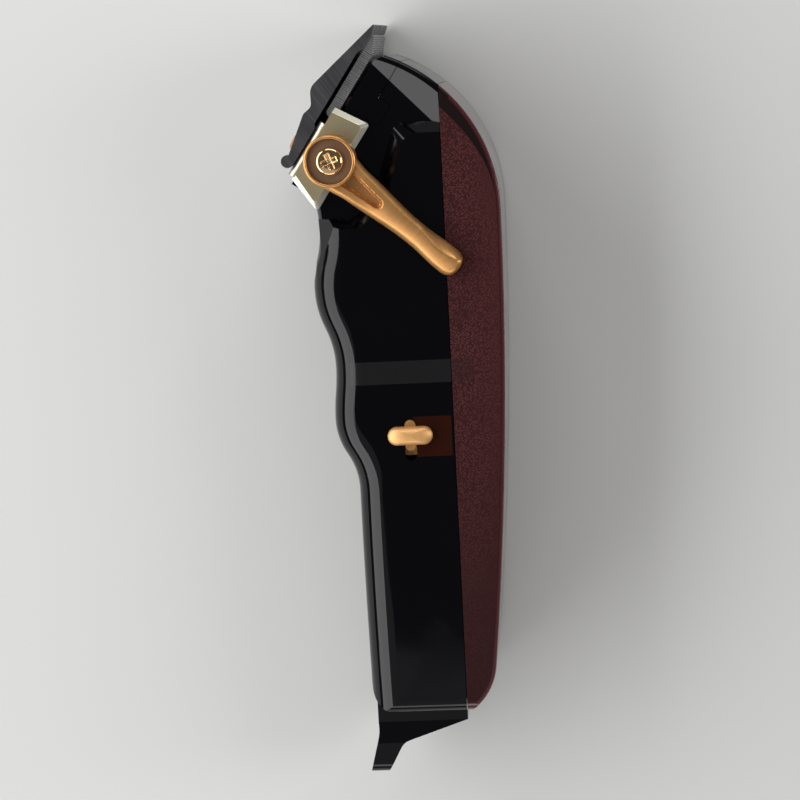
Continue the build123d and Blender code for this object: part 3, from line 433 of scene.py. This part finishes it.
materials = {"glossBlack": makeCasingMaterial(), "burgundyGrain": makeLidMaterial(),
             "cutterSteel": makeCutterMaterial(), "bracketChrome": makeBracketMaterial()}
materials.update({name: makeMetal(name) for name in metalLooks})
materials.update({name: makePlastic(name) for name in plasticLooks})
finishes = {
    "glossBlack": ["lower_casing", "nose_cap", "rear_cap"],
    "burgundyGrain": ["top_lid"],
    "bladeSteel": ["bottom_blade"],
    "cutterSteel": ["top_blade"],
    "bracketChrome": ["blade_bracket", "tension_spring"],
    "goldPlate": ["taper_lever", "switch_slider", "blade_screws"],
    "goldPaintedHighlight": ["switch_thumb"],
    "goldPolish": ["lever_screw"],
    "washerBronze": ["lever_washer"],
    "zincSteel": ["casing_screws", "nose_screws", "bracket_guide_pin", "lever_post", "board_screws",
                  "motor", "motor_plate", "motor_screws", "motor_shaft", "yoke_rod"],
    "socketBlack": ["charging_socket", "switch_body"],
    "nylon": ["eccentric", "drive_yoke"],
    "cellWrap": ["battery"],
    "boardGreen": ["circuit_board"],
}
for finish, members in finishes.items():
    for member in members:
        nodes[member].data.materials.clear()
        nodes[member].data.materials.append(materials[finish])
print("finishes on", sum(len(members) for members in finishes.values()), "nodes")


# new piece: mesh, finish, the body it rides on and the node it stands for
sharpAngle = math.radians(55)


def addPiece(name, points, faces, look):
    mesh = bpy.data.meshes.new(name)
    mesh.from_pydata(points.tolist(), [], faces)
    mesh.materials.append(materials[look["finish"]])
    mesh.shade_smooth()
    mesh.set_sharp_from_angle(angle=sharpAngle)
    piece = bpy.data.objects.new(name, mesh)
    scene.collection.objects.link(piece)
    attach(piece, look["body"])
    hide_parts(look["node"])


# faces over a stack of closed loops, with a fan at each end to the two pole points after the loops
def loopFaces(rows, columns, first=0):
    i, j = np.arange(rows - 1)[:, None] * columns, np.arange(columns)[None, :]
    nextJ = (j + 1) % columns
    quads = np.stack([i + j, i + columns + j, i + columns + nextJ, i + nextJ], -1).reshape(-1, 4)
    last, pole = (rows - 1) * columns, np.full(columns, rows * columns)
    fanStart = np.stack([pole, j[0], nextJ[0]], -1)
    fanEnd = np.stack([pole + 1, last + nextJ[0], last + j[0]], -1)
    return sum(((part + first).tolist() for part in (quads, fanStart, fanEnd)), [])


# faces over loops that close in both directions: each joins the next and the last joins the first
def ringFaces(rows, columns, first=0):
    i, j = np.arange(rows)[:, None] * columns, np.arange(columns)[None, :]
    nextI, nextJ = (i + columns) % (rows * columns), (j + 1) % columns
    quads = np.stack([i + j, nextI + j, nextI + nextJ, i + nextJ], -1).reshape(-1, 4)
    return (quads + first).tolist()


def circle(columns):
    angle = np.linspace(0, 2 * np.pi, columns, endpoint=False)
    return np.cos(angle), np.sin(angle)


def smooth(value, low, high):
    t = np.clip((value - low) / (high - low), 0, 1)
    return t * t * (3 - 2 * t)


# cross-head screws in metres, each on its feet along its axis
screwLooks = {
    "leverScrew": {
        "head": 0.0029, "height": 0.0013, "edge": 0.0007, "crown": 0.0002, "shank": 0.0008,
        "length": 0.0117, "arm": 0.0005, "reach": 0.00178, "recess": 0.00105, "turn": 0.35,
        "columns": 144, "rings": 46, "feet": [(-0.01385, 0.0583, 0.04915)], "axis": (0, 0, 1),
        "node": "lever_screw", "body": "casing", "finish": "goldPolish", "slot": "gold_plate"},
    "bladeScrews": {
        "head": 0.0029, "height": 0.0014, "edge": 0.0008, "crown": 0.0002, "shank": 0.0015,
        "length": 0.0048, "arm": 0.00045, "reach": 0.0018, "recess": 0.0008, "turn": 0.8,
        "columns": 120, "rings": 40, "axis": (-0.829038, 0.559193, 0),
        "feet": [(-0.021042, 0.062665, 0.012), (-0.021042, 0.062665, 0.034)],
        "node": "blade_screws", "body": "blade_carriage", "finish": "goldPlate",
        "slot": "gold_plate"},
    "casingScrews": {
        "head": 0.0022, "height": 0.0016, "edge": 0.0006, "crown": 0.0001, "shank": 0.001,
        "length": 0.0086, "arm": 0.00036, "reach": 0.0014, "recess": 0.0007, "turn": 0.5,
        "columns": 72, "rings": 24, "axis": (-1, 0, 0),
        "feet": [(0.00315, -0.0519, 0.009), (0.00315, -0.0519, 0.037),
                 (0.00315, 0.0351, 0.0064), (0.00315, 0.0351, 0.0396)],
        "node": "casing_screws", "body": "casing", "finish": "zincSteel", "slot": "zinc_steel"},
}
screwShares = {  # the same on every screw
    "edgeRings": 6, "pointWidth": 0.7, "pointLength": 0.3, "wall": 0.25, "armEnd": 0.86,
    "armFall": 0.45,
}


def screwRings(look):
    # profile as radius and height over the seat: crowned top, round edge, side, seat face, shank
    flat, rise = look["head"] - look["edge"], look["height"] - look["crown"]
    shank, length = look["shank"], look["length"]
    topR = flat * np.linspace(0, 1, look["rings"] + 1)[1:]
    topZ = look["height"] - look["crown"] * (topR / flat) ** 2
    bend = np.linspace(0, np.pi / 2, screwShares["edgeRings"] + 1)[1:]
    edgeR = flat + look["edge"] * np.sin(bend)
    edgeZ = rise - look["edge"] * (1 - np.cos(bend))
    restR = [look["head"], shank, shank, shank * screwShares["pointWidth"]]
    restZ = [0, 0, shank * screwShares["pointLength"] - length, -length]
    return np.concatenate([topR, edgeR, restR]), np.concatenate([topZ, edgeZ, restZ])


def crossRecess(look, x, y):
    # two crossed arms, each a slot with steep walls that gets shallower to its end
    cosT, sinT = math.cos(look["turn"]), math.sin(look["turn"])
    a, b = np.abs(x * cosT + y * sinT), np.abs(y * cosT - x * sinT)
    wall, reach = look["arm"] * screwShares["wall"], look["reach"]

    def arm(along, across):
        slot = 1 - smooth(across, look["arm"] - wall, look["arm"] + wall)
        stop = 1 - smooth(along, reach * screwShares["armEnd"], reach)
        return slot * stop * (1 - screwShares["armFall"] * along / reach)

    return look["recess"] * np.maximum(arm(a, b), arm(b, a))


def makeScrews(name):
    # the profile goes round the axis, and the recess lowers the rings of the top
    look = screwLooks[name]
    radius, height = screwRings(look)
    rings, columns = len(radius), look["columns"]
    x, y = (radius[:, None] * side for side in circle(columns))
    onTop = np.arange(rings)[:, None] < look["rings"]
    z = height[:, None] - np.where(onTop, crossRecess(look, x, y), 0)
    poles = np.array([[0, 0, look["height"] - look["recess"]], [0, 0, -look["length"]]])
    one = np.vstack([np.stack([x, y, z], -1).reshape(-1, 3), poles])
    one = one @ np.array(Vector(look["axis"]).to_track_quat("Z", "Y").to_matrix()).T
    points = np.vstack([one + np.array(foot) for foot in look["feet"]])
    faces = [loopFaces(rings, columns, k * len(one)) for k in range(len(look["feet"]))]
    addPiece(name, points, sum(faces, []), look)


for screwName in screwLooks:
    makeScrews(screwName)
print("screws made")


# taper lever in millimetres, x along the arm from the pivot and y across it
leverLook = {
    "pivot": (-13.85, 58.3), "angle": -42.0, "aside": -0.45,
    "low": 46.4, "high": 49.4, "least": 0.3, "edge": 1.25,  # least thickness, rounding of the edge
    "start": 2.0, "tip": 34.9, "tipRound": 3.1, "tipPower": 2.5, "tipStop": 0.99999,
    "crest": 0.35, "crown": 0.55, "crownSpan": (6, 14),
    "stations": 300, "crowding": 1.5, "across": 100, "under": 12,
    "rootWidth": 3.75, "flare": 0.85, "flareSpan": (2, 8), "waist": 1.2, "waistSpan": (6, 23),
    "thumb": 0.4, "thumbSpan": (24, 31),
    "pocketStart": 4.5, "pocketEnd": 13.2, "pocketWide": 1.85, "pocketNarrow": 1.0,
    "pocketDepth": 1.9, "pocketWall": (-0.4, 0.2),
    "dishPlace": 29.2, "dishEdge": 0.9, "dishSpread": 4.6, "dishDepth": 1.0,
    "dishWall": (-0.5, 1.7),
    "bossRadius": 5.5, "bossLow": 45.4, "bossHigh": 50.1, "bossRound": 0.5, "bossRings": 8,
    "recess": 4.75, "recessFloor": 48.5, "recessBevel": 0.12, "bore": 1.55,
    "tuck": 0.4, "tuckDrop": 0.1,  # the arm's root stays hidden under the floor of the boss
    "camRadius": 3.45, "camThrow": 1.5, "camAngle": 158.5, "camLow": 43.75, "columns": 160,
    "node": "taper_lever", "body": "lever", "finish": "goldPlate", "slot": "gold_plate",
}


def leverOutline():
    # half width along the arm: flare at the root, waist, thumb end, and a power curve round the tip.
    # Stations crowd towards the tip, and points across it crowd towards both edges.
    look = leverLook
    power = look["tipPower"]
    t = np.linspace(0, 1, look["stations"])[:, None]
    length = look["tip"] - look["start"]
    x = look["start"] + length * (1 - (1 - t) ** look["crowding"]) * look["tipStop"]
    half = look["rootWidth"] + look["flare"] * (1 - smooth(x, *look["flareSpan"]))
    half = half - look["waist"] * smooth(x, *look["waistSpan"])
    half = half + look["thumb"] * smooth(x, *look["thumbSpan"])
    end = np.clip((x - look["tip"] + look["tipRound"]) / look["tipRound"], 0, 1)
    u = np.sin(np.linspace(-np.pi / 2, np.pi / 2, look["across"]))[None, :]
    u = u * (1 - end ** power) ** (1 / power)
    inside = half * (1 - np.clip(end ** power + np.abs(u) ** power, 0, 1) ** (1 / power))
    return x, half * u, u, inside


def leverArm():
    # one closed loop per station: over the top from edge to edge, back along the flat underside.
    # The top is a crown falling away from a crest line, rounded at the outline, less the pocket
    # and the thumb dish.
    look = leverLook
    x, y, u, inside = leverOutline()
    short = np.clip(look["edge"] - inside, 0, None)
    z = look["high"] - look["edge"] + np.sqrt(look["edge"] ** 2 - short ** 2)
    z = z - look["crown"] * (u - look["crest"]) ** 2 * smooth(x, *look["crownSpan"])
    wide = np.interp(x, (look["pocketStart"], look["pocketEnd"]),
                     (look["pocketWide"], look["pocketNarrow"]))
    beyond = np.clip(x - look["pocketEnd"], 0, None)
    z = z - look["pocketDepth"] * (1 - smooth(np.hypot(beyond, y) - wide, *look["pocketWall"]))
    ridge = look["dishEdge"] + ((x - look["dishPlace"]) / look["dishSpread"]) ** 2
    z = z - look["dishDepth"] * smooth(y - ridge, *look["dishWall"])
    y = y + look["aside"]
    hidden = np.hypot(x, y) < look["bossRadius"] - look["tuck"]
    z = np.maximum(z, look["low"] + look["least"])
    z = np.where(hidden, look["recessFloor"] - look["tuckDrop"], z)
    share = np.linspace(0, 1, look["under"])
    underY = y[:, -1:] - (y[:, -1:] - y[:, :1]) * share
    loopY = np.hstack([y, underY])
    loopZ = np.hstack([z, np.full_like(underY, look["low"])])
    return np.stack([np.broadcast_to(x, loopY.shape), loopY, loopZ], -1)


def leverBoss():
    # rings round the pivot: bore, floor and wall of the screw seat, rounded rim, outer wall
    look = leverLook
    bore, recess, outer = look["bore"], look["recess"], look["bossRadius"]
    low, floor, high = look["bossLow"], look["recessFloor"], look["bossHigh"]
    bevel = look["recessBevel"]
    bend = np.linspace(0, np.pi / 2, look["bossRings"])
    rimR = outer - look["bossRound"] * (1 - np.sin(bend))
    rimZ = high - look["bossRound"] * (1 - np.cos(bend))
    radius = np.concatenate([[bore, bore, recess, recess, recess + bevel], rimR, [outer]])[:, None]
    height = np.concatenate([[low, floor, floor, high - bevel, high], rimZ, [low]])[:, None]
    x, y = (radius * side for side in circle(look["columns"]))
    return np.stack([x, y, np.broadcast_to(height, x.shape)], -1)


def leverCam():
    # round cam beside the pivot with the bore through it on the pivot
    look = leverLook
    unit = np.stack(circle(look["columns"]), -1)
    aside = math.radians(look["camAngle"] - look["angle"])
    middle = look["camThrow"] * np.array([math.cos(aside), math.sin(aside)])
    bore, rim = look["bore"] * unit, middle + look["camRadius"] * unit
    low, high = np.full((len(rim), 1), look["camLow"]), np.full((len(rim), 1), look["bossLow"])
    rings = ((bore, low), (bore, high), (rim, high), (rim, low))
    return np.stack([np.hstack(ring) for ring in rings])


def makeLever():
    look = leverLook
    arm, boss, cam = leverArm(), leverBoss(), leverCam()
    points = np.vstack([arm.reshape(-1, 3), arm[0].mean(0), arm[-1].mean(0)])
    faces = loopFaces(*arm.shape[:2])
    for loops in (boss, cam):
        faces += ringFaces(*loops.shape[:2], len(points))
        points = np.vstack([points, loops.reshape(-1, 3)])
    angle = math.radians(look["angle"])
    cosA, sinA = math.cos(angle), math.sin(angle)
    turned = points @ np.array([[cosA, sinA, 0], [-sinA, cosA, 0], [0, 0, 1]])
    addPiece("taperLever", (turned + np.array([*look["pivot"], 0])) * mm, faces, look)


makeLever()
print("lever made")


# switch thumb: long button with round ends, "side" its share of upright height under the dome
thumbLook = {
    "side": 0.3, "rings": 28, "columns": 120,
    "node": "switch_thumb", "body": "switch", "finish": "goldPaintedHighlight", "slot": "gold_plate",
}


def makeThumb():
    # rings shrink towards the middle of a round-ended outline, and rise over it as an ellipse
    look = thumbLook
    low, high = (np.array(corner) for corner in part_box(look["node"]))
    middle, half, tall = (low + high) / 2, (high - low) / 2, high[2] - low[2]
    angle = (np.arange(look["columns"]) + 0.5) * 2 * np.pi / look["columns"]  # half a step round
    share = np.sin(np.linspace(0, np.pi / 2, look["rings"] + 1))[1:]
    share = np.append(share, 1.0)[:, None]
    straight = (half[0] - half[1]) * np.sign(np.cos(angle))
    x = middle[0] + share * (straight + half[1] * np.cos(angle))
    y = middle[1] + share * half[1] * np.sin(angle)
    dome = (1 - look["side"]) * np.sqrt(np.clip(1 - share ** 2, 0, 1))
    z = low[2] + tall * (look["side"] + dome) + 0 * x
    z[-1] = low[2]
    poles = [(middle[0], middle[1], high[2]), (middle[0], middle[1], low[2])]
    points = np.vstack([np.stack([x, y, z], -1).reshape(-1, 3), poles])
    addPiece("switchThumb", points, loopFaces(*x.shape), look)


makeThumb()
print("switch thumb made")


# camera over the lever side, a little towards the lid and the blade
cameraLook = {
    "target": (-0.00184, 0.00754, 0.046), "up": (0.0493, 0.9988, 0.0), "aside": 0.0341,
    "ahead": 0.0755, "height": 0.600, "lens": 129.65, "sensor": 36.0, "clip": (0.01, 20.0),
}


def makeCamera():
    look = cameraLook
    target, up, upright = Vector(look["target"]), Vector(look["up"]).normalized(), Vector((0, 0, 1))
    right = up.cross(upright)
    place = target + right * look["aside"] + up * look["ahead"] + upright * look["height"]
    back = (place - target).normalized()
    side = up.cross(back).normalized()
    turn = Matrix((side, back.cross(side), back)).transposed()
    data = bpy.data.cameras.new("photoCamera")
    data.lens, data.sensor_width = look["lens"], look["sensor"]
    data.clip_start, data.clip_end = look["clip"]
    camera = bpy.data.objects.new("photoCamera", data)
    camera.matrix_world = Matrix.Translation(place) @ turn.to_4x4()
    scene.collection.objects.link(camera)
    scene.camera = camera


# soft boxes: place, width and length, watts
lampAim = (0, 0, 0.02)
lampLook = {
    "leftBox": {"place": (-0.75, 0.0, 0.55), "size": (1.7, 0.72), "watts": 16.5},
    "rightBox": {"place": (0.85, 0.1, 0.45), "size": (0.35, 1.0), "watts": 4.5},
    "headBox": {"place": (0.1, 0.95, 0.6), "size": (0.9, 0.45), "watts": 5.0},
    "rearBox": {"place": (-0.1, -1.0, 0.5), "size": (0.9, 0.35), "watts": 3.0},
    "rearCard": {"place": (-0.12, -0.628, 1.0), "size": (1.6, 0.8), "watts": 1.6},
}


def makeLamps():
    for name, look in lampLook.items():
        data = bpy.data.lights.new(name, "AREA")
        data.shape = "RECTANGLE"
        data.size, data.size_y = look["size"]
        data.energy = look["watts"]
        lamp = bpy.data.objects.new(name, data)
        away = Vector(look["place"]) - Vector(lampAim)
        turn = away.to_track_quat("Z", "Y").to_matrix().to_4x4()
        lamp.matrix_world = Matrix.Translation(look["place"]) @ turn
        scene.collection.objects.link(lamp)


# pale floor under the resting side
floorLook = {"half": 3.0, "colour": (0.5, 0.5, 0.49, 1), "rough": 0.8, "drop": 0.0001}


def makeFloor():
    look = floorLook
    corners = np.array([(-1, -1), (1, -1), (1, 1), (-1, 1)]) * look["half"]
    mesh = bpy.data.meshes.new("floor")
    mesh.from_pydata(np.insert(corners, 2, -look["drop"], 1).tolist(), [], [(0, 1, 2, 3)])
    material, tree, shader = newMaterial("paleFloor")
    feed(tree, shader, {"Base Color": look["colour"], "Roughness": look["rough"]})
    mesh.materials.append(material)
    floor = bpy.data.objects.new("floor", mesh)
    scene.collection.objects.link(floor)


worldLook = {"colour": (0.11, 0.11, 0.115, 1), "strength": 1.0}


def makeWorld():
    world = bpy.data.worlds.new("studio")
    world.use_nodes = True
    feed(world.node_tree, world.node_tree.nodes["Background"],
         {"Color": worldLook["colour"], "Strength": worldLook["strength"]})
    scene.world = world


makeCamera()
makeLamps()
makeFloor()
makeWorld()
scene.view_settings.view_transform = "Standard"
print("studio ready")
